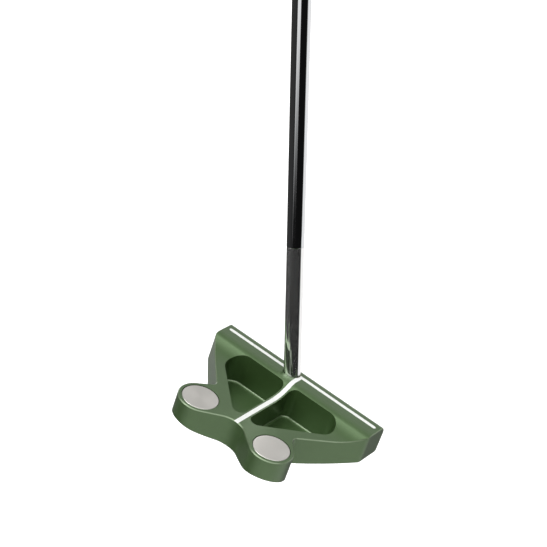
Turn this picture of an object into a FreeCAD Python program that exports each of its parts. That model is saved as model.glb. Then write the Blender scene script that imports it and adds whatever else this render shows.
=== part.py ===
import FreeCAD, Part
import math
import os
import Sketcher
from FreeCAD import Placement, Rotation, Vector

# Mallet putter at address. +X points to the toe, +Y to the target and +Z up.
# The row's origin is the middle of the grip, on the shaft's axis, where the hands hold it.
# The head is drawn in a frame of its own: x = 0 is its line of symmetry, y = 0 the middle of the
# white top line, and z = 0 the flat flange behind the sweep. The shaft, the grip and what they
# hold are drawn in another: z runs up the shaft's axis from the top of the head.

DIMENSIONS = [
    # Outline of the head, seen from above; the rear is at negative y
    ("HalfLength", 53.3, "half of the length from heel to toe"),
    ("FaceFront", 7.0, "striking face, in front of the top line"),
    ("WingCorner", 9.5, "rear end of the end walls, behind the top line"),
    ("WingCornerRadius", 5.0, "upright corner between end wall and wing"),
    ("WingAngle", 40.8, "rear edge of a wing, from fore and aft"),
    ("NeckRadius", 3.0, "inner corner between wing and pod"),
    ("NeckAngle", 40.0, "flank that runs out from the neck to the pod"),
    ("PodX", 24.1, "centre of a round rear pod, from the middle"),
    ("PodY", 57.7, "centre of a round rear pod, behind the top line"),
    ("PodRadius", 12.2, "outside of a pod"),
    ("NotchDepth", 57.2, "bottom of the rear notch, behind the top line"),
    ("NotchRadius", 11.6, "hollow between the two pods"),
    # Section of the head, seen from the toe
    ("LandHeight", 5.4, "top land above the flange"),
    ("LandRear", 6.0, "rear end of the top land, behind the top line"),
    ("CrestRadius", 8.0, "convex roll from the land into the sweep"),
    ("SweepEnd", 24.0, "where the sweep meets the flange"),
    ("TopFrontRadius", 4.0, "round between the land and the striking face"),
    ("FlangeThickness", 17.2, "flange down to the flat of the sole"),
    ("RearRollAngle", 24.0, "way the sole curves up to a pod, from straight back"),
    ("RearRollStart", 43.4, "where the sole starts to curve up to a pod"),
    ("RearRollRadius", 93.0, "curve of the sole under a pod"),
    ("EndRollStart", 18.5, "where the sole starts to curve up at heel and toe"),
    ("EndRollRadius", 120.0, "curve of the sole at heel and toe"),
    ("EdgeBreak", 0.45, "machined break on the upper edges"),
    ("LeadingEdge", 1.2, "round between the striking face and the sole"),
    # Blind pockets, one each side of the centre rib
    ("RibHalfWidth", 2.2, "half of the rib between the pockets"),
    ("PocketFront", 10.0, "front wall, behind the top line"),
    ("PocketFloor", 14.5, "floor below the flange"),
    ("PocketSlant", 44.5, "long wall, from fore and aft"),
    ("PocketReach", 40.8, "long wall, square from the head's origin"),
    ("PocketOuterRadius", 8.2, "corner by the wing"),
    ("PocketInnerRadius", 4.2, "corner by the rib, at the front"),
    ("PocketRearRadius", 4.1, "corner by the rib, at the rear"),
    ("PocketFloorRadius", 1.5, "round between walls and floor"),
    # Weights and their screws
    ("WeightRadius", 10.15, "steel weight"),
    ("WeightRecess", 0.15, "top of a weight below the flange"),
    ("WeightDepth", 12.2, "bottom of a weight below the flange"),
    ("WeightGap", 0.1, "clearance round a weight"),
    ("WeightChamfer", 0.35, "edge of a weight"),
    ("ScrewSeat", 14.0, "underside of a screw's head, below the flange"),
    ("ScrewHeadHeight", 1.8, "low head"),
    ("ScrewHeadRadius", 3.6, "low head"),
    ("ScrewBoreRadius", 4.0, "counterbore in the sole"),
    ("ScrewRadius", 2.0, "M4 shank"),
    ("ScrewHoleRadius", 2.2, "clearance hole in the floor of the bore"),
    ("ScrewEnd", 5.0, "tip of a screw, below the flange"),
    ("ThreadSpare", 1.0, "tapped hole past the tip of a screw"),
    ("SocketFlats", 2.5, "hexagon socket, across flats"),
    ("SocketDepth", 1.2, "hexagon socket"),
    # White paint fills
    ("TopLineWidth", 2.3, "top line"),
    ("TopLineReach", 49.6, "centre of the top line's round end, from the middle"),
    ("CentreLineWidth", 2.6, "centre line"),
    ("FillDepth", 0.4, "groove for the paint"),
    ("FillRecess", 0.04, "paint below the metal"),
    # Shaft: heights are along its axis, from the top of the head
    ("Lean", 19.0, "shaft from upright, towards the heel"),
    ("FootHeelward", 5.6, "shaft's axis at the top land, towards the heel"),
    ("FootBehind", 0.75, "shaft's axis at the top land, behind the top line"),
    ("SocketLength", 16.0, "shaft inside the head"),
    ("BondThickness", 0.15, "epoxy round and under the tip"),
    ("TipRadius", 4.7, "0.370 inch tip"),
    ("TipLength", 72.6, "parallel tip above the head"),
    ("SwageStep", 0.06, "rise where the taper starts"),
    ("MiddleRadius", 5.2, "shaft at the end of the slow taper"),
    ("MiddleLength", 330.0, "end of the slow taper"),
    ("ButtRadius", 7.1, "0.560 inch butt"),
    ("ButtStart", 575.0, "start of the parallel butt"),
    ("ShaftEnd", 848.0, "butt end of the tube"),
    ("ShaftWall", 0.9, "tube wall"),
    ("PlugLength", 12.0, "plug in the tip"),
    # Grip
    ("TapeThickness", 0.15, "two-sided tape under the grip"),
    ("GripMouth", 587.0, "lower end of the grip"),
    ("GripWaist", 705.0, "where the grip is widened most of the way"),
    ("GripEnd", 852.0, "butt end of the grip"),
    ("GripMouthRadius", 9.6, "round side of the grip, lower end"),
    ("GripMouthFlat", 8.8, "flat side of the grip, lower end"),
    ("GripWaistRadius", 12.2, "round side of the grip, at the waist"),
    ("GripWaistFlat", 10.2, "flat side of the grip, at the waist"),
    ("GripEndRadius", 13.6, "round side of the grip, butt end"),
    ("GripEndFlat", 11.6, "flat side of the grip, butt end"),
    ("GripCornerRadius", 3.0, "edges of the flat side"),
    ("GripLip", 1.2, "bevel on the ends of the grip"),
    ("CapRadius", 9.0, "cap let into the butt end of the grip"),
    ("CapThickness", 3.0, "cap"),
    ("CapStemLength", 11.0, "stem inside the tube"),
    ("CapStemGap", 0.2, "clearance round the stem"),
    ("VentRadius", 1.5, "vent hole through the cap"),
    ("Overcut", 4.0, "room that a cut is drawn past the metal it takes away"),
]

MOST_NODES = 60
TOUCH = 0.01  # mm or mm3: less than this is none
PARALLEL = 0.001  # sine of the angle between two edges that count as parallel

doc = FreeCAD.newDocument("mallet_putter")
sheet = doc.addObject("Spreadsheet::Sheet", "Dims")
for number, (alias, value, meaning) in enumerate(DIMENSIONS, start=1):
    sheet.set(f"A{number}", alias)
    sheet.set(f"B{number}", str(value))
    sheet.set(f"C{number}", meaning)
    sheet.setAlias(f"B{number}", alias)
doc.recompute()


def dim(alias):
    """A driving dimension, as a number."""
    return float(sheet.get(alias))


def evaluate(expression):
    """Value of an expression over the sheet."""
    value = sheet.evalExpression(expression)
    return float(getattr(value, "Value", value))


# ---------------------------------------------------------------- where the pieces stand

SHAFT_X = "sin(Dims.Lean * 1 deg) * (Dims.GripMouth + Dims.GripEnd) / 2"
SHAFT_Z = "-cos(Dims.Lean * 1 deg) * (Dims.GripMouth + Dims.GripEnd) / 2"


def place_with_shaft(piece):
    """Stand a piece that is drawn in the shaft's frame on the leaning axis."""
    piece.Placement = Placement(Vector(), Rotation(Vector(0, 1, 0), -dim("Lean")))
    piece.setExpression("Placement.Base.x", SHAFT_X)
    piece.setExpression("Placement.Base.z", SHAFT_Z)
    piece.setExpression("Placement.Rotation.Angle", "-Dims.Lean * 1 deg")


def place_with_head(piece, x="0", y="0"):
    """Put a piece that is drawn in the head's frame under the foot of the shaft."""
    piece.setExpression("Placement.Base.x", f"{SHAFT_X} + Dims.FootHeelward + {x}")
    piece.setExpression("Placement.Base.y", f"Dims.FootBehind + {y}")
    piece.setExpression("Placement.Base.z", f"{SHAFT_Z} - Dims.LandHeight")


# ---------------------------------------------------------------- sketches and features

def new_body(label):
    body = doc.addObject("PartDesign::Body", label)
    body.Label = label
    return body


def origin_plane(body, role):
    return next(feature for feature in body.Origin.OriginFeatures if feature.Role == role)


def new_sketch(body, name, role, height=None):
    """A sketch on one of the body's own origin planes, raised by an expression if one is given."""
    sketch = body.newObject("Sketcher::SketchObject", name)
    sketch.AttachmentSupport = (origin_plane(body, role), [""])
    sketch.MapMode = "FlatFace"
    if height:
        sketch.setExpression("AttachmentOffset.Base.z", height)
    doc.recompute()
    return sketch


def hold(sketch, kind, where, expression):
    """Add a dimension to a sketch and bind it to the sheet."""
    value = evaluate(expression)
    if kind == "Angle":
        value = math.radians(value)
        expression = f"({expression}) * 1 deg"
    place = sketch.addConstraint(Sketcher.Constraint(kind, *where, value))
    sketch.setExpression(f"Constraints[{place}]", expression)


def pin_point(sketch, index, end, x=None, y=None):
    """Hold a point of the geometry at coordinates given by expressions."""
    for kind, expression in (("DistanceX", x), ("DistanceY", y)):
        if expression is not None:
            hold(sketch, kind, (-1, 1, index, end), expression)


def level(sketch, *indices):
    for index in indices:
        sketch.addConstraint(Sketcher.Constraint("Horizontal", index))


def upright(sketch, *indices):
    for index in indices:
        sketch.addConstraint(Sketcher.Constraint("Vertical", index))


def line(start, end):
    return Part.LineSegment(Vector(start[0], start[1], 0), Vector(end[0], end[1], 0))


def arc(centre, start, end):
    """Arc that runs anticlockwise from one point to another round its centre."""
    middle_point = Vector(centre[0], centre[1], 0)
    first = Vector(start[0], start[1], 0) - middle_point
    last = Vector(end[0], end[1], 0) - middle_point
    full = Part.Circle(middle_point, Vector(0, 0, 1), first.Length)
    return Part.ArcOfCircle(full, math.atan2(first.y, first.x), math.atan2(last.y, last.x))


def closed_path(sketch, pieces):
    """Add a closed chain of lines and arcs, and join each piece to the next.

    Each piece is (geometry, forward, smooth): forward says that the chain runs along the geometry
    from its first end to its second, and smooth that it runs on tangent into the next piece.
    """
    indices = [sketch.addGeometry(geometry, False) for geometry, _, _ in pieces]
    for here, (_, forward, smooth) in enumerate(pieces):
        there = (here + 1) % len(pieces)
        end = 2 if forward else 1
        start = 1 if pieces[there][1] else 2
        kind = "Tangent" if smooth else "Coincident"
        sketch.addConstraint(Sketcher.Constraint(kind, indices[here], end, indices[there], start))
    return indices


def polygon(sketch, points):
    """Closed outline of straight lines through points whose coordinates are expressions."""
    spots = [(evaluate(x), evaluate(y)) for x, y in points]
    following = spots[1:] + spots[:1]
    indices = closed_path(sketch, [(line(*ends), True, False) for ends in zip(spots, following)])
    for index, (x, y) in zip(indices, points):
        pin_point(sketch, index, 1, x, y)


def circle(sketch, radius, x="0", y="0"):
    centre = Vector(evaluate(x), evaluate(y), 0)
    index = sketch.addGeometry(Part.Circle(centre, Vector(0, 0, 1), evaluate(radius)))
    pin_point(sketch, index, 3, x, y)
    hold(sketch, "Radius", (index,), radius)


def feature_from(body, kind, sketch, length=None, **settings):
    feature = body.newObject(f"PartDesign::{kind}", f"{sketch.Name}_{kind.lower()}")
    feature.Profile = sketch
    if length:
        feature.setExpression("Length", length)
    for name, value in settings.items():
        setattr(feature, name, value)
    doc.recompute()
    return feature


def pocket(body, sketch, length, **settings):
    """Cut a sketch out of the body, and stop if the cut takes nothing away."""
    before = body.Shape.Volume
    feature = feature_from(body, "Pocket", sketch, length, **settings)
    if body.Shape.Volume > before - TOUCH:
        raise RuntimeError(f"{feature.Name} cuts nothing")
    return feature


def mirrored(body, name, **settings):
    """Repeat across the body's YZ plane: the whole body, or the features given as Originals."""
    feature = body.newObject("PartDesign::Mirrored", name)
    feature.MirrorPlane = (origin_plane(body, "YZ_Plane"), [""])
    for setting, value in settings.items():
        setattr(feature, setting, value)
    body.Tip = feature
    doc.recompute()
    return feature


def turned(label, points):
    """A body turned round its Z axis from a profile of (radius, height) expressions."""
    body = new_body(label)
    sketch = new_sketch(body, f"{label}_profile", "XZ_Plane")
    polygon(sketch, points)
    feature_from(body, "Revolution", sketch, ReferenceAxis=(sketch, ["V_Axis"]), Angle=360)
    return body


def dress(body, kind, wanted, prop, expression):
    """Fillet or chamfer the wanted edges of the body's last feature."""
    base = body.Tip
    names = [f"Edge{number}" for number, edge in enumerate(base.Shape.Edges, start=1) if wanted(edge)]
    if not names:
        raise RuntimeError(f"no edges for the {kind} on {base.Name}")
    feature = body.newObject(f"PartDesign::{kind}", f"{base.Name}_{kind.lower()}")
    feature.Base = (base, names)
    feature.setExpression(prop, expression)
    doc.recompute()
    return feature


def edge_middle(edge):
    return edge.valueAt((edge.FirstParameter + edge.LastParameter) / 2)


def runs_along(edge, direction):
    """Whether an edge is straight and parallel to a direction."""
    first, last = edge.firstVertex().Point, edge.lastVertex().Point
    along = last - first
    return along.Length > TOUCH and along.cross(direction).Length < PARALLEL * along.Length


# ---------------------------------------------------------------- head

REAR = "-Dims.PodY - Dims.PodRadius - Dims.Overcut"
ROOF = "Dims.LandHeight + Dims.Overcut"


def draw_outline(sketch):
    """Toe half of the head from above: face, end wall, wing, neck, pod and half of the notch."""
    half, face = dim("HalfLength"), dim("FaceFront")
    wing, flank = math.radians(dim("WingAngle")), math.radians(dim("NeckAngle"))
    pod_radius, neck_radius, notch_radius = dim("PodRadius"), dim("NeckRadius"), dim("NotchRadius")
    pod = Vector(dim("PodX"), -dim("PodY"), 0)
    notch = Vector(0, -dim("NotchDepth") - notch_radius, 0)

    # The wing's edge and the pod's flank would cross inside the neck's round corner
    wing_start = Vector(half, -dim("WingCorner"), 0)
    wing_in = Vector(-math.sin(wing), -math.cos(wing), 0)
    flank_out = Vector(math.sin(flank), -math.cos(flank), 0)
    flank_end = pod + Vector(math.cos(flank), math.sin(flank), 0) * pod_radius
    along = (flank_end - wing_start).cross(flank_out).z / wing_in.cross(flank_out).z
    crossing = wing_start + wing_in * along
    back_off = neck_radius * math.tan((wing + flank) / 2)
    neck_start = crossing - wing_in * back_off
    neck_end = crossing + flank_out * back_off
    neck = neck_start + Vector(math.cos(wing), -math.sin(wing), 0) * neck_radius

    # The side of the notch touches the pod at one end and the hollow at the other
    span = pod - notch
    turn = math.atan2(span.y, span.x) + math.acos((pod_radius + notch_radius) / span.Length)
    square = Vector(math.cos(turn), math.sin(turn), 0)
    pod_end = pod - square * pod_radius
    notch_end = notch + square * notch_radius
    notch_top = notch + Vector(0, notch_radius, 0)

    indices = closed_path(sketch, [
        (line((0, face), (half, face)), True, False),
        (line((half, face), wing_start), True, False),
        (line(wing_start, neck_start), True, True),
        (arc(neck, neck_start, neck_end), True, True),
        (line(neck_end, flank_end), True, True),
        (arc(pod, pod_end, flank_end), False, True),
        (line(pod_end, notch_end), True, True),
        (arc(notch, notch_end, notch_top), True, False),
        (line(notch_top, (0, face)), True, False),
    ])
    face_line, end_line, wing_line, neck_arc, flank_line, pod_arc, _, notch_arc, seam = indices
    level(sketch, face_line)
    upright(sketch, end_line, seam)
    pin_point(sketch, face_line, 2, "Dims.HalfLength", "Dims.FaceFront")
    pin_point(sketch, end_line, 2, None, "-Dims.WingCorner")
    pin_point(sketch, pod_arc, 3, "Dims.PodX", "-Dims.PodY")
    pin_point(sketch, notch_arc, 3, "0", "-Dims.NotchDepth - Dims.NotchRadius")
    pin_point(sketch, seam, 1, "0", None)
    hold(sketch, "Radius", (neck_arc,), "Dims.NeckRadius")
    hold(sketch, "Radius", (pod_arc,), "Dims.PodRadius")
    hold(sketch, "Radius", (notch_arc,), "Dims.NotchRadius")
    hold(sketch, "Angle", (wing_line,), "-90 - Dims.WingAngle")
    hold(sketch, "Angle", (flank_line,), "-90 + Dims.NeckAngle")


def draw_top_section(sketch, front, far, drop="0"):
    """Section along the head's top, from land through crest and sweep to flange, closed at a height.

    front is where it starts, far the height of the closing line, and drop how far the top is lowered.
    """
    front_y, far_z, rear_y, lowered = (evaluate(text) for text in (front, far, REAR, drop))
    land, brow_y, sweep_y = dim("LandHeight") - lowered, -dim("LandRear"), -dim("SweepEnd")
    rise = land + lowered
    both_radii = ((brow_y - sweep_y) ** 2 + rise ** 2) / (2 * rise)
    crest_radius = dim("CrestRadius")
    crest = Vector(brow_y, land - crest_radius, 0)
    hollow = Vector(sweep_y, both_radii - crest_radius - lowered, 0)
    join = crest + (hollow - crest) * (crest_radius / both_radii)

    indices = closed_path(sketch, [
        (line((front_y, far_z), (front_y, land)), True, False),
        (line((front_y, land), (brow_y, land)), True, True),
        (arc(crest, (brow_y, land), join), True, True),
        (arc(hollow, (sweep_y, -lowered), join), False, True),
        (line((sweep_y, -lowered), (rear_y, -lowered)), True, False),
        (line((rear_y, -lowered), (rear_y, far_z)), True, False),
        (line((rear_y, far_z), (front_y, far_z)), True, False),
    ])
    front_line, land_line, crest_arc, _, flange_line, rear_line, far_line = indices
    upright(sketch, front_line, rear_line)
    level(sketch, land_line, flange_line, far_line)
    pin_point(sketch, front_line, 1, front, far)
    pin_point(sketch, land_line, 2, "-Dims.LandRear", f"Dims.LandHeight - ({drop})")
    pin_point(sketch, flange_line, 1, "-Dims.SweepEnd", f"-({drop})")
    pin_point(sketch, rear_line, 1, REAR, None)
    hold(sketch, "Radius", (crest_arc,), "Dims.CrestRadius")


def draw_roll(sketch, start, radius, out):
    """Air under a sole that curves up from start, at a radius, until it is past out."""
    start_at, roll, out_at = evaluate(start), evaluate(radius), evaluate(out)
    sole, below = -dim("FlangeThickness"), -dim("FlangeThickness") - dim("Overcut")
    centre = Vector(start_at, sole + roll, 0)
    flat_end = (start_at, sole)
    lifted = (out_at, centre.y - math.sqrt(roll ** 2 - (out_at - start_at) ** 2))
    outward = out_at > start_at
    curve = arc(centre, flat_end, lifted) if outward else arc(centre, lifted, flat_end)
    roll_arc, out_line, low_line, start_line = closed_path(sketch, [
        (curve, outward, False),
        (line(lifted, (out_at, below)), True, False),
        (line((out_at, below), (start_at, below)), True, False),
        (line((start_at, below), flat_end), True, False),
    ])
    upright(sketch, out_line, start_line)
    level(sketch, low_line)
    pin_point(sketch, start_line, 2, start, "-Dims.FlangeThickness")
    pin_point(sketch, out_line, 2, out, "-Dims.FlangeThickness - Dims.Overcut")
    pin_point(sketch, roll_arc, 3, start, None)
    hold(sketch, "Radius", (roll_arc,), radius)


def draw_pocket(sketch):
    """Three-cornered pocket between the rib, the front wall and a slanted wall."""
    rib, front = dim("RibHalfWidth"), -dim("PocketFront")
    slant, reach = math.radians(dim("PocketSlant")), dim("PocketReach")
    inner_radius, outer_radius, rear_radius = (
        dim(f"Pocket{corner}Radius") for corner in ("Inner", "Outer", "Rear"))
    across = Vector(math.cos(slant), -math.sin(slant), 0)

    # Centres of the round corners, each one radius inside the two walls that it joins
    inner = Vector(rib + inner_radius, front - inner_radius, 0)
    outer_y = front - outer_radius
    outer = Vector((reach - outer_radius - across.y * outer_y) / across.x, outer_y, 0)
    rear_x = rib + rear_radius
    rear = Vector(rear_x, (reach - rear_radius - across.x * rear_x) / across.y, 0)

    inner_side, inner_top = (rib, inner.y), (inner.x, front)
    outer_top, outer_side = (outer.x, front), outer + across * outer_radius
    rear_side, rear_top = rear + across * rear_radius, (rib, rear.y)
    indices = closed_path(sketch, [
        (line(inner_top, outer_top), True, True),
        (arc(outer, outer_side, outer_top), False, True),
        (line(outer_side, rear_side), True, True),
        (arc(rear, rear_top, rear_side), False, True),
        (line(rear_top, inner_side), True, True),
        (arc(inner, inner_top, inner_side), False, True),
    ])
    front_line, outer_arc, slant_line, rear_arc, rib_line, inner_arc = indices
    level(sketch, front_line)
    upright(sketch, rib_line)
    pin_point(sketch, front_line, 1, None, "-Dims.PocketFront")
    pin_point(sketch, rib_line, 1, "Dims.RibHalfWidth", None)
    hold(sketch, "Angle", (slant_line,), "-90 - Dims.PocketSlant")
    hold(sketch, "Distance", (-1, 1, slant_line), "Dims.PocketReach")
    hold(sketch, "Radius", (outer_arc,), "Dims.PocketOuterRadius")
    hold(sketch, "Radius", (rear_arc,), "Dims.PocketRearRadius")
    hold(sketch, "Radius", (inner_arc,), "Dims.PocketInnerRadius")


def draw_top_line(sketch, first_x, last_x):
    """Strip of the top line between two ends along x; an end at the line's reach is round."""
    half = dim("TopLineWidth") / 2
    start, end = evaluate(first_x), evaluate(last_x)
    indices = closed_path(sketch, [
        (line((end, half), (start, half)), True, True),
        (arc((start, 0), (start, half), (start, -half)), True, True),
        (line((start, -half), (end, -half)), True, True),
        (arc((end, 0), (end, -half), (end, half)), True, True),
    ])
    pin_point(sketch, indices[1], 3, first_x, "0")
    pin_point(sketch, indices[3], 3, last_x, "0")
    level(sketch, indices[0])
    hold(sketch, "Radius", (indices[1],), "Dims.TopLineWidth / 2")


def head_blank():
    """The milled head, all but the socket for the shaft."""
    body = new_body("head_blank")
    outline = new_sketch(body, "outline", "XY_Plane", "-Dims.FlangeThickness")
    draw_outline(outline)
    feature_from(body, "Pad", outline, f"Dims.FlangeThickness + {ROOF}")

    top = new_sketch(body, "top_section", "YZ_Plane")
    draw_top_section(top, "Dims.FaceFront + Dims.Overcut", f"{ROOF} + Dims.Overcut")
    pocket(body, top, "4 * Dims.HalfLength", SideType="Symmetric")
    rear_roll = new_sketch(body, "rear_roll", "YZ_Plane")
    rear_roll.AttachmentOffset = Placement(Vector(), Rotation(Vector(0, 1, 0), dim("RearRollAngle")))
    rear_roll.setExpression("AttachmentOffset.Rotation.Angle", "Dims.RearRollAngle * 1 deg")
    draw_roll(rear_roll, "-Dims.RearRollStart", "Dims.RearRollRadius", "-Dims.PodX - Dims.PodY")
    pocket(body, rear_roll, "4 * Dims.HalfLength", SideType="Symmetric")
    end_roll = new_sketch(body, "end_roll", "XZ_Plane")
    draw_roll(end_roll, "Dims.EndRollStart", "Dims.EndRollRadius", "Dims.HalfLength + Dims.Overcut")
    pocket(body, end_roll, "4 * Dims.HalfLength", SideType="Symmetric")
    mirrored(body, "both_halves", TransformMode="Whole shape")

    along_x, along_z = Vector(1, 0, 0), Vector(0, 0, 1)
    land, face, sole = dim("LandHeight"), dim("FaceFront"), -dim("FlangeThickness")

    def top_front(edge):
        spot = edge_middle(edge)
        return runs_along(edge, along_x) and abs(spot.z - land) < TOUCH and abs(spot.y - face) < TOUCH

    def wing_corner(edge):
        return runs_along(edge, along_z) and abs(edge_middle(edge).y + dim("WingCorner")) < TOUCH

    def leading(edge):
        spot = edge_middle(edge)
        return abs(spot.y - face) < TOUCH and spot.z < sole / 2 and not runs_along(edge, along_z)

    def upper_rim(edge):
        straight_inside = runs_along(edge, along_x) or runs_along(edge, along_z)
        return edge_middle(edge).z > -TOUCH and not straight_inside

    def floor_rim(edge):
        return abs(edge_middle(edge).z + dim("PocketFloor")) < TOUCH

    dress(body, "Fillet", top_front, "Radius", "Dims.TopFrontRadius")
    dress(body, "Fillet", leading, "Radius", "Dims.LeadingEdge")
    dress(body, "Chamfer", upper_rim, "Size", "Dims.EdgeBreak")
    dress(body, "Fillet", wing_corner, "Radius", "Dims.WingCornerRadius")

    cut_both_sides(body)
    dress(body, "Fillet", floor_rim, "Radius", "Dims.PocketFloorRadius")
    cut_grooves(body)
    return body


def cut_both_sides(body):
    """The blind pocket, the weight's bore and its screw's hole, on the toe side and the heel side."""
    hollow = new_sketch(body, "pocket_outline", "XY_Plane", "Dims.LandHeight")
    draw_pocket(hollow)
    cuts = [pocket(body, hollow, "Dims.LandHeight + Dims.PocketFloor")]
    bore = new_sketch(body, "weight_bore", "XY_Plane")
    circle(bore, "Dims.WeightRadius + Dims.WeightGap", "Dims.PodX", "-Dims.PodY")
    cuts.append(pocket(body, bore, "Dims.WeightDepth"))
    for name, radius, ceiling in (
        ("screw_counterbore", "Dims.ScrewBoreRadius", "Dims.ScrewSeat"),
        ("screw_hole", "Dims.ScrewHoleRadius", "Dims.WeightDepth"),
    ):
        hole = new_sketch(body, name, "XY_Plane", "-Dims.FlangeThickness")
        circle(hole, radius, "Dims.PodX", "-Dims.PodY")
        cuts.append(pocket(body, hole, f"Dims.FlangeThickness - {ceiling}", Reversed=True))
    mirrored(body, "both_sides", Originals=cuts)


def cut_grooves(body):
    """Shallow grooves that the white paint fills."""
    top_line = new_sketch(body, "top_line_groove", "XY_Plane", "Dims.LandHeight")
    draw_top_line(top_line, "-Dims.TopLineReach", "Dims.TopLineReach")
    pocket(body, top_line, "Dims.FillDepth")
    centre_line = new_sketch(body, "centre_line_groove", "YZ_Plane")
    draw_top_section(centre_line, "-Dims.TopLineWidth / 2", ROOF, "Dims.FillDepth")
    pocket(body, centre_line, "Dims.CentreLineWidth", SideType="Symmetric")


def shaft_socket():
    """The bore for the shaft, as a tool in the head's frame."""
    tool = doc.addObject("Part::Cylinder", "shaft_socket")
    tool.setExpression("Radius", "Dims.TipRadius + Dims.BondThickness")
    tool.setExpression("Height", "Dims.SocketLength + Dims.BondThickness + 2 * Dims.Overcut")
    depth = "(Dims.SocketLength + Dims.BondThickness)"
    tool.Placement = Placement(Vector(), Rotation(Vector(0, 1, 0), -dim("Lean")))
    tool.setExpression("Placement.Base.x", f"-Dims.FootHeelward + sin(Dims.Lean * 1 deg) * {depth}")
    tool.setExpression("Placement.Base.y", "-Dims.FootBehind")
    tool.setExpression("Placement.Base.z", f"Dims.LandHeight - cos(Dims.Lean * 1 deg) * {depth}")
    tool.setExpression("Placement.Rotation.Angle", "-Dims.Lean * 1 deg")
    return tool


def cut_by(label, base, tool):
    piece = doc.addObject("Part::Cut", label)
    piece.Label = label
    piece.Base = base
    piece.Tool = tool
    return piece


def top_line_fill(name, first_x, last_x):
    """Paint in the top line on one side of the shaft."""
    body = new_body(f"{name}_strip")
    sketch = new_sketch(body, f"{name}_plan", "XY_Plane", "Dims.LandHeight - Dims.FillDepth")
    draw_top_line(sketch, first_x, last_x)
    feature_from(body, "Pad", sketch, "Dims.FillDepth - Dims.FillRecess")
    return body


def centre_line_fill():
    """Paint in the centre line, from the top line over the sweep to the notch."""
    body = new_body("centre_line_strip")
    sketch = new_sketch(body, "centre_line_plan", "XY_Plane", "-Dims.FillDepth")
    half, front = "Dims.CentreLineWidth / 2", "-Dims.TopLineWidth / 2"
    rear = "-Dims.NotchDepth + Dims.EdgeBreak / 4"
    polygon(sketch, [(half, rear), (half, front), (f"-{half}", front), (f"-{half}", rear)])
    feature_from(body, "Pad", sketch, "Dims.FillDepth + Dims.LandHeight")
    above = new_sketch(body, "centre_line_top", "YZ_Plane")
    draw_top_section(above, "Dims.Overcut", ROOF, "Dims.FillRecess")
    pocket(body, above, "2 * Dims.CentreLineWidth", SideType="Symmetric")
    below = new_sketch(body, "centre_line_underside", "YZ_Plane")
    draw_top_section(below, "Dims.Overcut", "-Dims.Overcut", "Dims.FillDepth")
    pocket(body, below, "2 * Dims.CentreLineWidth", SideType="Symmetric")
    return body


# ---------------------------------------------------------------- weights

def weight(label):
    """Steel plug with broken edges and a tapped hole in its underside."""
    top, bottom = "-Dims.WeightRecess", "-Dims.WeightDepth"
    tapped = "-Dims.ScrewEnd + Dims.ThreadSpare"
    edge = "Dims.WeightRadius - Dims.WeightChamfer"
    return turned(label, [
        ("0", top),
        (edge, top),
        ("Dims.WeightRadius", f"{top} - Dims.WeightChamfer"),
        ("Dims.WeightRadius", f"{bottom} + Dims.WeightChamfer"),
        (edge, bottom),
        ("Dims.ScrewRadius", bottom),
        ("Dims.ScrewRadius", tapped),
        ("0", tapped),
    ])


def weight_screw(label):
    """Low-head screw that comes up through the sole, with a hexagon socket."""
    seat, low = "-Dims.ScrewSeat", "-Dims.ScrewSeat - Dims.ScrewHeadHeight"
    body = turned(label, [
        ("0", "-Dims.ScrewEnd"),
        ("Dims.ScrewRadius", "-Dims.ScrewEnd"),
        ("Dims.ScrewRadius", seat),
        ("Dims.ScrewHeadRadius", seat),
        ("Dims.ScrewHeadRadius", low),
        ("0", low),
    ])
    socket = new_sketch(body, f"{label}_socket", "XY_Plane", low)
    corner = "Dims.SocketFlats / sqrt(3)"
    polygon(socket, [
        (f"{corner} * cos({turn} deg)", f"{corner} * sin({turn} deg)")
        for turn in range(0, 360, 60)
    ])
    pocket(body, socket, "Dims.SocketDepth", Reversed=True)
    return body


# ---------------------------------------------------------------- shaft

def shaft():
    """Steel tube: parallel tip, a long slow taper, a quicker one, and a parallel butt."""
    outside = [
        ("Dims.TipRadius", "-Dims.SocketLength"),
        ("Dims.TipRadius", "Dims.TipLength"),
        ("Dims.TipRadius + Dims.SwageStep", "Dims.TipLength + 2 * Dims.SwageStep"),
        ("Dims.MiddleRadius", "Dims.MiddleLength"),
        ("Dims.ButtRadius", "Dims.ButtStart"),
        ("Dims.ButtRadius", "Dims.ShaftEnd"),
    ]
    inside = [(f"{radius} - Dims.ShaftWall", height) for radius, height in reversed(outside)]
    return turned("shaft", outside + inside)


def sleeve(label, inner, outer, low, high):
    return turned(label, [(inner, low), (outer, low), (outer, high), (inner, high)])


def tip_plug():
    end = "-Dims.SocketLength"
    radius = "Dims.TipRadius - Dims.ShaftWall"
    top = f"{end} + Dims.PlugLength"
    return turned("shaft_tip_plug", [("0", end), (radius, end), (radius, top), ("0", top)])


def epoxy_bond():
    """Thin cup of epoxy between the tip and its socket, stopping below the socket's slanted mouth."""
    tip, outer = "Dims.TipRadius", "Dims.TipRadius + Dims.BondThickness"
    tip_end = "-Dims.SocketLength"
    bottom = f"{tip_end} - Dims.BondThickness"
    top = f"-tan(Dims.Lean * 1 deg) * ({outer})"
    return turned("shaft_epoxy_bond", [
        ("0", bottom), (outer, bottom), (outer, top), (tip, top), (tip, tip_end), ("0", tip_end),
    ])


# ---------------------------------------------------------------- grip

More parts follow.
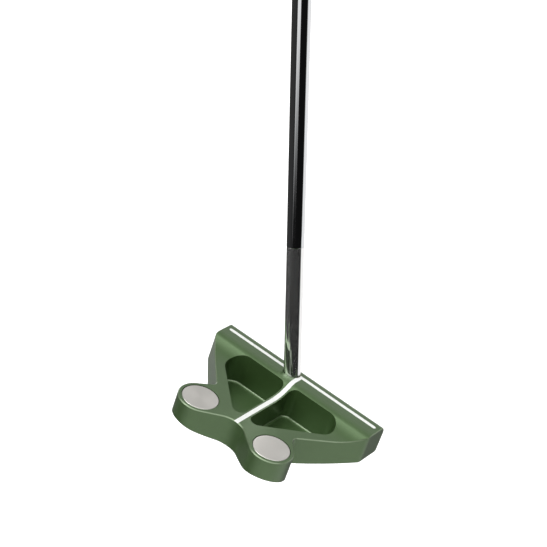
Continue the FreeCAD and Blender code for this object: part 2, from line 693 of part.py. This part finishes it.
def draw_grip_section(sketch, radius, flat):
    """Round section with one flat side towards +X, and round corners between the two."""
    full, face, corner = evaluate(radius), evaluate(flat), dim("GripCornerRadius")
    corner_x = face - corner
    corner_y = math.sqrt((full - corner) ** 2 - corner_x ** 2)
    lower, upper = Vector(corner_x, -corner_y, 0), Vector(corner_x, corner_y, 0)
    centre = Vector()
    round_start = upper * (full / upper.Length)
    round_end = lower * (full / lower.Length)
    indices = closed_path(sketch, [
        (line((face, -corner_y), (face, corner_y)), True, True),
        (arc(upper, (face, corner_y), round_start), True, True),
        (arc(centre, round_start, round_end), True, True),
        (arc(lower, round_end, (face, -corner_y)), True, True),
    ])
    flat_line, upper_arc, round_arc, lower_arc = indices
    upright(sketch, flat_line)
    pin_point(sketch, flat_line, 1, flat, None)
    pin_point(sketch, round_arc, 3, "0", "0")
    hold(sketch, "Radius", (round_arc,), radius)
    hold(sketch, "Radius", (upper_arc,), "Dims.GripCornerRadius")
    hold(sketch, "Radius", (lower_arc,), "Dims.GripCornerRadius")


def grip():
    """Rubber grip, flat on the thumbs' side, bored for the tube and let in for its cap."""
    body = new_body("grip")
    stations = [
        ("Mouth", "", "- Dims.GripLip"),
        ("Mouth", "+ Dims.GripLip", ""),
        ("Waist", "", ""),
        ("End", "- Dims.GripLip", ""),
        ("End", "", "- Dims.GripLip"),
    ]
    sections = []
    for number, (place, along, inward) in enumerate(stations, start=1):
        section = new_sketch(body, f"grip_section_{number}", "XY_Plane", f"Dims.Grip{place} {along}")
        draw_grip_section(section, f"Dims.Grip{place}Radius {inward}", f"Dims.Grip{place}Flat {inward}")
        sections.append(section)
    loft = body.newObject("PartDesign::AdditiveLoft", "grip_loft")
    loft.Profile = sections[0]
    loft.Sections = sections[1:]
    loft.Ruled = True
    doc.recompute()
    bore, under_cap = "Dims.ButtRadius + Dims.TapeThickness", "Dims.GripEnd - Dims.CapThickness"
    below, above = "Dims.GripMouth - Dims.Overcut", "Dims.GripEnd + Dims.Overcut"
    inside = new_sketch(body, "grip_inside", "XZ_Plane")
    polygon(inside, [
        ("0", below), (bore, below), (bore, under_cap),
        ("Dims.CapRadius", under_cap), ("Dims.CapRadius", above), ("0", above),
    ])
    feature_from(body, "Groove", inside, ReferenceAxis=(inside, ["V_Axis"]), Angle=360)
    return body


def grip_cap():
    """Cap with a stem in the tube and a vent hole through it."""
    stem = "Dims.ButtRadius - Dims.ShaftWall - Dims.CapStemGap"
    under = "Dims.GripEnd - Dims.CapThickness"
    low = f"{under} - Dims.CapStemLength"
    return turned("grip_end_cap", [
        ("Dims.VentRadius", low), (stem, low), (stem, under),
        ("Dims.CapRadius", under), ("Dims.CapRadius", "Dims.GripEnd"), ("Dims.VentRadius", "Dims.GripEnd"),
    ])


# ---------------------------------------------------------------- assembly

def head_pieces():
    """The head and its paint, each with the shaft's socket cut out."""
    foot, reach = "-Dims.FootHeelward", "Dims.TopLineReach"
    whole = {
        "head_body": head_blank(),
        "heel_top_line_fill": top_line_fill("heel_line", f"-{reach}", foot),
        "toe_top_line_fill": top_line_fill("toe_line", foot, reach),
        "centre_line_fill": centre_line_fill(),
    }
    socket = shaft_socket()
    return [cut_by(label, body, socket) for label, body in whole.items()]


def shaft_pieces():
    tape = "Dims.ButtRadius + Dims.TapeThickness"
    return [
        shaft(),
        tip_plug(),
        epoxy_bond(),
        sleeve("grip_tape", "Dims.ButtRadius", tape, "Dims.GripMouth", "Dims.ShaftEnd"),
        grip(),
        grip_cap(),
    ]


def build():
    pieces = head_pieces()
    for piece in pieces:
        place_with_head(piece)
    for side, sign in (("heel", "-"), ("toe", "")):
        for piece in (weight(f"{side}_weight"), weight_screw(f"{side}_weight_screw")):
            place_with_head(piece, f"({sign}Dims.PodX)", "(-Dims.PodY)")
            pieces.append(piece)
    for piece in shaft_pieces():
        place_with_shaft(piece)
        pieces.append(piece)
    doc.recompute()
    return pieces


def check(pieces):
    """Stop on a failed object, a bad solid or a name used twice."""
    failed = [item.Name for item in doc.Objects if {"Invalid", "Error"} & set(item.State)]
    if failed:
        raise RuntimeError(f"failed objects: {failed}")
    for piece in pieces:
        if piece.Shape.isNull() or not piece.Shape.isValid() or not piece.Shape.Solids:
            raise RuntimeError(f"{piece.Label} has no valid solid")
    labels = {piece.Label for piece in pieces}
    if len(labels) != len(pieces) or len(labels) > MOST_NODES:
        raise RuntimeError("labels repeat, or there are too many")


def export(pieces):
    os.makedirs("parts", exist_ok=True)
    for piece in pieces:
        piece.Shape.exportStep(f"parts/{piece.Label}.step")
        box = piece.Shape.BoundBox
        print(f"{piece.Label}: {len(piece.Shape.Solids)} solid, {piece.Shape.Volume:.0f} mm3, "
              f"z {box.ZMin:.1f} to {box.ZMax:.1f}")


all_pieces = build()
check(all_pieces)
export(all_pieces)
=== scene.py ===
"""Mallet putter: materials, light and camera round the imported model.

Lengths are in metres and angles in radians, in the row's frame: +X to the toe, +Y to the target, +Z up.
"""
import math
from collections import namedtuple
import bpy
from mathutils import Matrix, Vector


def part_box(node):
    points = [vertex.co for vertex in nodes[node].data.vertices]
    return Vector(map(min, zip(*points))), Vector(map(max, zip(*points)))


MM = 0.001
UP = (0, 0, 1)

# Head, measured from the middle of its top line at the flange's height
LAND_HEIGHT = 5.4 * MM
FACE_FRONT = 7.0 * MM
FOOT_IN_HEAD = Vector((-5.6 * MM, -0.75 * MM, LAND_HEIGHT))
CUTTER_CENTRE = Vector((8.0, 0.0, -70.0)) * MM
CUTTER_PITCH = 0.9 * MM
RINGS_PER_METRE = 6000.0

# Shaft, whose tip is parallel up to a small step
SHAFT_LEAN = math.radians(19.0)
TIP_SECTION = 72.6 * MM
TIP_STEP = 0.2 * MM

# Grip, with ribs across its flat side, studs round the rest and a plain gap between them
STUD_PITCH = 4.0 * MM
STUDS_ROUND = 16.0
FLAT_ANGLE = math.radians(50.0)
PATTERN_FADE = 0.06
PATTERN_GAP = 0.20
PATTERN_HALF = 112.0 * MM

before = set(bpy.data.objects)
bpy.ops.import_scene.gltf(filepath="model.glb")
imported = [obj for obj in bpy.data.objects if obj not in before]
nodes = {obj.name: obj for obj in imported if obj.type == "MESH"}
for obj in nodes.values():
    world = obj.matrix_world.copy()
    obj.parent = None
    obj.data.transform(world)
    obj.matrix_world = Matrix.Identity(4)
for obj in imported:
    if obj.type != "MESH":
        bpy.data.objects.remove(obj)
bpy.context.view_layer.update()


def head_origin():
    """Middle of the white top line, at the height of the flange."""
    low, high = (Vector(corner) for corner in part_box("head_body"))
    return Vector(((low.x + high.x) / 2, high.y - FACE_FRONT, high.z - LAND_HEIGHT))


def centre_of(node):
    """Middle of a CAD node's box."""
    low, high = (Vector(corner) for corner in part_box(node))
    return (low + high) / 2


HEAD = head_origin()
SHAFT_FOOT = HEAD + FOOT_IN_HEAD
SHAFT_AXIS = Vector((-math.sin(SHAFT_LEAN), 0, math.cos(SHAFT_LEAN)))


# ---------------------------------------------------------------- node helpers

# A Mix node holds its share, its two colours and its result colour at these places
MIX_SHARE, MIX_FIRST, MIX_SECOND, MIX_RESULT = 0, 6, 7, 2


class Nodes:
    """A node tree, with what the materials and the world both need to fill it."""

    def __init__(self, tree):
        self.tree = tree

    def add(self, kind, **settings):
        """A new node, with its settings."""
        node = self.tree.nodes.new(kind)
        for name, value in settings.items():
            setattr(node, name, value)
        return node

    def join(self, source, target):
        self.tree.links.new(source, target)

    def feed(self, socket, value):
        """Join an input socket to an output, or give it a value of its own."""
        if isinstance(value, bpy.types.NodeSocket):
            self.join(value, socket)
        else:
            socket.default_value = value

    def put(self, node, **values):
        """Feed a node's inputs by name, with _ for each space."""
        for name, value in values.items():
            self.feed(node.inputs[name.replace("_", " ")], value)

    def math(self, operation, first, second=0.0):
        """Result of arithmetic on two sockets or numbers."""
        node = self.add("ShaderNodeMath", operation=operation)
        for socket, value in zip(node.inputs, (first, second)):
            self.feed(socket, value)
        return node.outputs[0]


class Recipe(Nodes):
    """A material and the few node patterns that the materials share."""

    def __init__(self, name):
        self.material = bpy.data.materials.new(name)
        self.material.use_nodes = True
        super().__init__(self.material.node_tree)
        self.shader = self.tree.nodes["Principled BSDF"]
        self.place = self.add("ShaderNodeTexCoord").outputs["Object"]

    def set(self, **values):
        """Feed the shader's inputs."""
        self.put(self.shader, **values)

    def noise(self, scale, detail=3.0, place=None):
        """Cloudy noise from 0 to 1, with about scale waves to a unit of its place."""
        node = self.add("ShaderNodeTexNoise")
        self.put(node, Vector=place or self.place, Scale=scale, Detail=detail)
        return node.outputs["Fac"]

    def along_shaft(self, scale, start=(0, 0, 0)):
        """Scaled coordinates that lean with the shaft, so that Z runs up its axis."""
        return self.stretched(scale, start, (0, -SHAFT_LEAN, 0))

    def stretched(self, scale, start=(0, 0, 0), turn=(0, 0, 0)):
        """Object coordinates, measured from a start, turned and scaled."""
        node = self.add("ShaderNodeMapping", vector_type="TEXTURE")
        self.put(node, Vector=self.place, Location=start, Rotation=turn)
        size = self.add("ShaderNodeVectorMath", operation="MULTIPLY")
        self.join(node.outputs[0], size.inputs[0])
        size.inputs[1].default_value = scale
        return size.outputs[0]

    def split(self, vector):
        """The X, Y and Z outputs of a vector."""
        node = self.add("ShaderNodeSeparateXYZ")
        self.join(vector, node.inputs[0])
        return node.outputs

    def span(self, value, low=0.0, high=1.0, start=0.0, end=1.0):
        """Map a value that runs from start to end onto low to high, and stop there."""
        node = self.add("ShaderNodeMapRange")
        self.put(node, Value=value, From_Min=start, From_Max=end, To_Min=low, To_Max=high)
        return node.outputs["Result"]

    def length(self, vector):
        """Length of a vector."""
        node = self.add("ShaderNodeVectorMath", operation="LENGTH")
        self.join(vector, node.inputs[0])
        return node.outputs["Value"]

    def blend(self, share, first, second):
        """Colour between two colours, each a triple or a socket that holds one."""
        node = self.add("ShaderNodeMix", data_type="RGBA")
        self.feed(node.inputs[MIX_SHARE], share)
        for place, colour in ((MIX_FIRST, first), (MIX_SECOND, second)):
            opaque = colour if isinstance(colour, bpy.types.NodeSocket) else (*colour, 1.0)
            self.feed(node.inputs[place], opaque)
        return node.outputs[MIX_RESULT]

    def bump(self, height, distance, strength=1.0, after=None):
        """Normal tilted by a height that runs from 0 to 1 over a distance, on top of an earlier bump."""
        node = self.add("ShaderNodeBump")
        self.put(node, Height=height, Distance=distance, Strength=strength)
        if after:
            self.join(after, node.inputs["Normal"])
        return node.outputs["Normal"]


# ---------------------------------------------------------------- materials

def painted_edge_highlight(made, normal):
    """Where a highlight is painted: 1 on broken edges and on the rounds at the pockets' floors, which lean
    about half way over.
    """
    steep = made.span(normal["Z"], start=0.48, end=0.54)
    not_level = made.span(normal["Z"], low=1.0, high=0.0, start=0.73, end=0.78)
    off_face = made.span(normal["Y"], low=1.0, high=0.0, start=0.4, end=0.6)
    return made.math("MULTIPLY", made.math("MULTIPLY", steep, not_level), off_face)


def cutter_arcs(made, normal):
    """Arcs left by a fly cutter on the striking face."""
    spoke = made.length(made.stretched((1.0, 0.0, 1.0), HEAD + CUTTER_CENTRE))
    turns = made.math("MULTIPLY", spoke, 2 * math.pi / CUTTER_PITCH)
    on_face = made.span(normal["Y"], start=0.97, end=0.99)
    return made.math("MULTIPLY", made.math("SINE", turns), on_face)


def anodised_green():
    """Bead-blasted and anodised aluminium: a highlight painted paler on the broken upper edges, and a
    milled face.
    """
    made = Recipe("green_anodised")
    normal = made.split(made.add("ShaderNodeTexCoord").outputs["Normal"])
    cloud = made.noise(scale=60.0, detail=4.0)
    grain = made.noise(scale=5200.0, detail=2.0)
    marks = made.noise(scale=1.0, place=made.stretched((40.0, 900.0, 900.0)))
    patches = made.span(cloud, start=0.3, end=0.7)
    green = made.blend(patches, (0.060, 0.122, 0.033), (0.069, 0.137, 0.040))
    rough = made.math("ADD", made.span(cloud, low=0.36, high=0.42), made.span(grain, low=-0.04, high=0.04))
    blasted = made.bump(grain, distance=0.02 * MM, strength=0.5)
    handled = made.bump(marks, distance=0.01 * MM, strength=0.35, after=blasted)
    milled = made.bump(cutter_arcs(made, normal), distance=0.08 * MM, strength=0.6, after=handled)
    # The pale green on broken edges and pocket-floor rounds is a painted highlight, not the anodised colour
    made.set(Base_Color=made.blend(painted_edge_highlight(made, normal), green, (0.18, 0.25, 0.14)),
             Metallic=0.65, Roughness=rough, Coat_Weight=1.0, Coat_Roughness=0.3, Normal=milled)
    return made.material


def turned_steel(name, centre):
    """Steel faced on a lathe: fine rings round the middle, and a sheen drawn out along them."""
    made = Recipe(name)
    radius = made.length(made.stretched((1.0, 1.0, 0.0), centre))
    outwards = made.add("ShaderNodeCombineXYZ")
    made.join(made.math("MULTIPLY", radius, RINGS_PER_METRE), outwards.inputs["X"])
    rings = made.noise(scale=1.0, detail=2.0, place=outwards.outputs[0])
    smudge = made.noise(scale=180.0, detail=4.0)
    rough = made.math("ADD", made.span(rings, low=0.26, high=0.36), made.span(smudge, low=-0.05, high=0.06))
    made.set(Base_Color=made.blend(rings, (0.66, 0.64, 0.60), (0.76, 0.74, 0.70)), Metallic=1.0,
             Roughness=rough, Anisotropic=0.6, Normal=made.bump(rings, distance=0.03 * MM, strength=0.4))
    return made.material


def screw_steel():
    """Dark steel, plain and slightly uneven."""
    made = Recipe("screw_steel")
    cloud = made.noise(scale=900.0, detail=4.0)
    made.set(Base_Color=made.blend(cloud, (0.16, 0.16, 0.165), (0.26, 0.26, 0.265)), Metallic=1.0,
             Roughness=made.span(cloud, low=0.3, high=0.45),
             Normal=made.bump(cloud, distance=0.02 * MM, strength=0.4))
    return made.material


def white_paint():
    """Paint flooded into a groove: smooth, and slightly uneven where it dried."""
    made = Recipe("white_paint")
    ripple = made.noise(scale=420.0)
    made.set(Base_Color=made.blend(ripple, (0.83, 0.85, 0.82), (0.89, 0.91, 0.88)),
             Roughness=made.span(ripple, low=0.28, high=0.42),
             Normal=made.bump(ripple, distance=0.05 * MM, strength=0.3))
    return made.material


def chrome():
    """Bright chrome plate over a polished tube, with a paler and hazier parallel tip."""
    made = Recipe("chrome")
    height = made.split(made.along_shaft((1.0, 1.0, 1.0), SHAFT_FOOT))["Z"]
    tip = made.span(height, low=1.0, high=0.0, start=TIP_SECTION, end=TIP_SECTION + TIP_STEP)
    draw_lines = made.noise(scale=1.0, place=made.along_shaft((2600.0, 2600.0, 12.0), SHAFT_FOOT))
    haze = made.noise(scale=35.0)
    plate = made.blend(haze, (0.74, 0.75, 0.765), (0.80, 0.81, 0.82))
    rough = made.math("ADD", made.span(draw_lines, low=0.03, high=0.07), made.span(haze, high=0.03))
    made.set(Base_Color=made.blend(tip, plate, (0.93, 0.93, 0.92)),
             Metallic=made.span(tip, low=1.0, high=0.967), Roughness=rough,
             Normal=made.bump(draw_lines, distance=0.004 * MM, strength=0.2))
    return made.material


def grip_relief(made):
    """Height of the grip's pattern: ribs across the flat side, rows of studs round the rest."""
    place = made.split(made.along_shaft((1.0, 1.0, 1.0)))
    around = made.math("ARCTAN2", place["Y"], place["X"])
    from_flat = made.math("ABSOLUTE", around)
    along = made.math("MULTIPLY", place["Z"], 2 * math.pi / STUD_PITCH)
    rows = made.math("SINE", made.math("MULTIPLY", around, STUDS_ROUND))
    lattice = made.math("MULTIPLY", made.math("SINE", along), rows)
    studs = made.span(lattice, start=0.1, end=0.8)
    ribs = made.span(made.math("SINE", made.math("MULTIPLY", along, 2.0)), start=-0.2, end=0.6)
    studded = made.span(from_flat, start=FLAT_ANGLE - PATTERN_FADE, end=FLAT_ANGLE)
    rib_end = FLAT_ANGLE - PATTERN_GAP
    ribbed = made.span(from_flat, low=1.0, high=0.0, start=rib_end - PATTERN_FADE, end=rib_end)
    from_middle = made.math("ABSOLUTE", place["Z"])
    patterned = made.span(from_middle, low=1.0, high=0.0, start=PATTERN_HALF, end=PATTERN_HALF + MM)
    both = made.math("ADD", made.math("MULTIPLY", studs, studded), made.math("MULTIPLY", ribs, ribbed))
    return made.math("MULTIPLY", both, patterned)


def grip_rubber():
    """Moulded rubber with a pebbled skin, and a pattern that hands have polished slightly."""
    made = Recipe("grip_rubber")
    relief = grip_relief(made)
    cell = made.add("ShaderNodeTexVoronoi", feature="DISTANCE_TO_EDGE")
    made.put(cell, Vector=made.place, Scale=1100.0)
    pebble = made.span(cell.outputs["Distance"], start=0.0, end=0.25)
    dust = made.noise(scale=90.0, detail=5.0)
    rubber = made.blend(dust, (0.016, 0.016, 0.017), (0.034, 0.034, 0.036))
    polish = made.math("MULTIPLY", relief, 0.12)
    skin = made.bump(pebble, distance=0.1 * MM, strength=0.5)
    made.set(Base_Color=made.blend(made.math("MULTIPLY", relief, 0.5), rubber, (0.055, 0.056, 0.058)),
             Roughness=made.math("SUBTRACT", made.span(dust, low=0.58, high=0.75), polish),
             Normal=made.bump(relief, distance=0.5 * MM, strength=0.8, after=skin))
    return made.material


def moulded_plastic(name, dark, light):
    """Fine-grained plastic between two shades."""
    made = Recipe(name)
    grain = made.noise(scale=700.0)
    made.set(Base_Color=made.blend(grain, dark, light), Roughness=made.span(grain, low=0.42, high=0.6),
             Normal=made.bump(grain, distance=0.08 * MM, strength=0.4))
    return made.material


def crepe_tape():
    """Creped paper tape, seen only at the grip's mouth."""
    made = Recipe("crepe_tape")
    creases = made.noise(scale=1.0, detail=2.0, place=made.along_shaft((300.0, 300.0, 1800.0)))
    made.set(Base_Color=made.blend(creases, (0.52, 0.47, 0.36), (0.70, 0.65, 0.52)), Roughness=0.8,
             Normal=made.bump(creases, distance=0.1 * MM, strength=0.6))
    return made.material


def dress(node, material):
    """Give a CAD node a material in every slot."""
    for slot in nodes[node].material_slots:
        slot.material = material


def dress_nodes():
    """A material for every CAD node."""
    paint, screws = white_paint(), screw_steel()
    dress("head_body", anodised_green())
    for side in ("heel", "toe"):
        dress(f"{side}_weight", turned_steel(f"{side}_turned_steel", centre_of(f"{side}_weight")))
        dress(f"{side}_weight_screw", screws)
        dress(f"{side}_top_line_fill", paint)
    dress("centre_line_fill", paint)
    # The chrome would mirror the paint and the weights as light lines that the real shaft doesn't show
    for name, piece in nodes.items():
        if name.endswith(("_fill", "_weight")):
            piece.visible_glossy = False
    dress("shaft", chrome())
    dress("shaft_epoxy_bond", moulded_plastic("epoxy", (0.20, 0.17, 0.10), (0.28, 0.25, 0.17)))
    dress("shaft_tip_plug", moulded_plastic("tip_plug", (0.02, 0.02, 0.02), (0.05, 0.05, 0.05)))
    dress("grip_tape", crepe_tape())
    dress("grip", grip_rubber())
    dress("grip_end_cap", moulded_plastic("cap_plastic", (0.02, 0.02, 0.02), (0.045, 0.045, 0.045)))


# ---------------------------------------------------------------- stage, light and camera

FLOOR_DROP = 0.35
FLOOR_HALF = 12.0
FLOOR_GLOW = 0.5


def floor():
    """Plain pale floor that a view from below looks through."""
    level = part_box("head_body")[0][2] - FLOOR_DROP
    corners = [(FLOOR_HALF * x, FLOOR_HALF * y, level) for x, y in ((-1, -1), (1, -1), (1, 1), (-1, 1))]
    mesh = bpy.data.meshes.new("floor")
    mesh.from_pydata(corners, [], [(0, 1, 2, 3)])
    item = bpy.data.objects.new("floor", mesh)
    bpy.context.scene.collection.objects.link(item)
    made = Recipe("floor")
    speckle = made.noise(scale=30.0)
    made.set(Base_Color=made.blend(speckle, (0.88, 0.88, 0.88), (0.92, 0.92, 0.92)), Roughness=0.9,
             Emission_Color=(1.0, 1.0, 1.0, 1.0), Emission_Strength=FLOOR_GLOW)
    clear = made.add("ShaderNodeBsdfTransparent")
    either = made.add("ShaderNodeMixShader")
    made.join(made.add("ShaderNodeNewGeometry").outputs["Backfacing"], either.inputs[0])
    made.join(made.shader.outputs[0], either.inputs[1])
    made.join(clear.outputs[0], either.inputs[2])
    made.join(either.outputs[0], made.tree.nodes["Material Output"].inputs["Surface"])
    mesh.materials.append(made.material)
    item.visible_glossy = False


class Sky(Nodes):
    """The studio round the object, as a glow that depends on the direction it comes from."""

    def __init__(self, base):
        self.world = bpy.data.worlds.new("studio")
        self.world.use_nodes = True
        super().__init__(self.world.node_tree)
        self.background = self.tree.nodes["Background"]
        self.background.inputs["Color"].default_value = (1.0, 1.0, 1.0, 1.0)
        self.direction = self.add("ShaderNodeTexCoord").outputs["Generated"]
        self.total = base

    def share(self, direction, dark, bright):
        """Smooth rise from 0 to 1 between two cosines of a ray's angle to a direction."""
        cosine = self.add("ShaderNodeVectorMath", operation="DOT_PRODUCT")
        self.join(self.direction, cosine.inputs[0])
        cosine.inputs[1].default_value = Vector(direction).normalized()
        rise = self.add("ShaderNodeMapRange", interpolation_type="SMOOTHSTEP")
        self.put(rise, Value=cosine.outputs["Value"], From_Min=dark, From_Max=bright)
        return rise.outputs["Result"]

    def glow(self, *shares, strength):
        """Add a light that is as strong as all its shares leave it."""
        light = strength
        for share in shares:
            light = self.math("MULTIPLY", light, share)
        self.total = self.math("ADD", self.total, light)

    def finish(self):
        """The object sees the glow; the camera sees plain white."""
        path = self.add("ShaderNodeLightPath")
        seen = self.math("MAXIMUM", self.total, path.outputs["Is Camera Ray"])
        self.join(seen, self.background.inputs["Strength"])
        bpy.context.scene.world = self.world


def light_backdrop(sky):
    """White backdrop on the target's side, cut off at the toe end and dimmer higher up."""
    toe_end = sky.share((-0.40, 0.92, 0), dark=-0.04, bright=0.07)
    heel_end = sky.share((0.50, 0.87, 0), dark=-0.02, bright=0.30)
    lower_edge = sky.share(SHAFT_AXIS, dark=-0.47, bright=-0.40)
    low_down = sky.share(UP, dark=0.45, bright=0.05)
    sky.glow(toe_end, heel_end, lower_edge, strength=0.62)
    sky.glow(toe_end, heel_end, lower_edge, low_down, strength=0.33)


def light_strip(sky):
    """Upright strip light behind the head, above the table."""
    heel_side = sky.share((1.0, -0.07, 0), dark=-0.06, bright=0.04)
    toe_side = sky.share((-0.87, -0.5, 0), dark=-0.06, bright=0.04)
    above_table = sky.share((-0.38, 0.38, 0.84), dark=-0.66, bright=-0.54)
    sky.glow(heel_side, toe_side, above_table, strength=0.93)


def light_table(sky):
    """Bright table under the head, just below what the shaft mirrors, and dimmer towards the target."""
    table = sky.share(-SHAFT_AXIS, dark=0.42, bright=0.52)
    rear = sky.share((0.6, -0.8, 0), dark=-0.5, bright=0.3)
    sky.glow(table, strength=0.16)
    sky.glow(table, rear, strength=0.72)


def light_heel(sky):
    """Bright low wall at the heel, just above what the shaft mirrors, and a faint light round it."""
    wall = sky.share((-1.0, 0.0, 0), dark=0.7, bright=0.9)
    above_mirrored = sky.share(SHAFT_AXIS, dark=-0.17, bright=-0.08)
    low_down = sky.share(UP, dark=0.12, bright=-0.04)
    around = sky.share((-1.0, -0.3, 0), dark=0.2, bright=0.7)
    sky.glow(wall, above_mirrored, low_down, strength=2.4)
    sky.glow(around, strength=0.03)


Lamp = namedtuple("Lamp", "direction dark bright strength")
# Soft round lamps above the head, and last a wide dim ceiling
LAMPS = (
    Lamp((-0.39, 0.30, 0.87), dark=0.92, bright=0.98, strength=0.25),
    Lamp((-0.39, 0.07, 0.92), dark=0.90, bright=0.98, strength=0.05),
    Lamp((-0.39, -0.20, 0.90), dark=0.94, bright=0.99, strength=1.4),
    Lamp((-0.55, -0.45, 0.70), dark=0.93, bright=0.98, strength=2.0),
    Lamp((0.10, -0.40, 0.91), dark=0.92, bright=0.97, strength=1.5),
    Lamp((0.52, -0.12, 0.84), dark=0.92, bright=0.98, strength=1.9),
    Lamp((-0.39, -0.77, 0.50), dark=0.84, bright=0.97, strength=2.4),
    Lamp(UP, dark=0.5, bright=0.9, strength=0.10),
)


def world_light():
    """Everything that lights the object, on top of a faint glow all round."""
    sky = Sky(base=0.006)
    light_backdrop(sky)
    light_strip(sky)
    light_table(sky)
    light_heel(sky)
    for lamp in LAMPS:
        sky.glow(sky.share(lamp.direction, lamp.dark, lamp.bright), strength=lamp.strength)
    sky.finish()


# Camera, looking at a target that is measured from the head's origin
VIEW_TARGET = Vector((-41.05, 9.05, 45.82)) * MM
VIEW_DISTANCE = 850.0 * MM
VIEW_AZIMUTH = math.radians(26.615)
VIEW_ELEVATION = math.radians(30.027)
VIEW_ROLL = math.radians(19.25)
LENS_MM = 102.78
SENSOR_MM = 36.0
NEAREST_SEEN = 10.0 * MM


def camera():
    """The photograph's camera, above the rear of the head and towards the toe."""
    data = bpy.data.cameras.new("camera")
    data.sensor_width = SENSOR_MM
    data.lens = LENS_MM
    data.clip_start = NEAREST_SEEN
    item = bpy.data.objects.new("camera", data)
    turn = Matrix.Rotation(VIEW_AZIMUTH, 4, "Z") @ Matrix.Rotation(math.pi / 2 - VIEW_ELEVATION, 4, "X")
    turn = turn @ Matrix.Rotation(VIEW_ROLL, 4, "Z")
    back = turn.to_3x3() @ Vector((0, 0, 1))
    item.matrix_world = Matrix.Translation(HEAD + VIEW_TARGET + back * VIEW_DISTANCE) @ turn
    bpy.context.scene.collection.objects.link(item)
    bpy.context.scene.camera = item


dress_nodes()
floor()
world_light()
camera()
bpy.context.scene.view_settings.view_transform = "Standard"
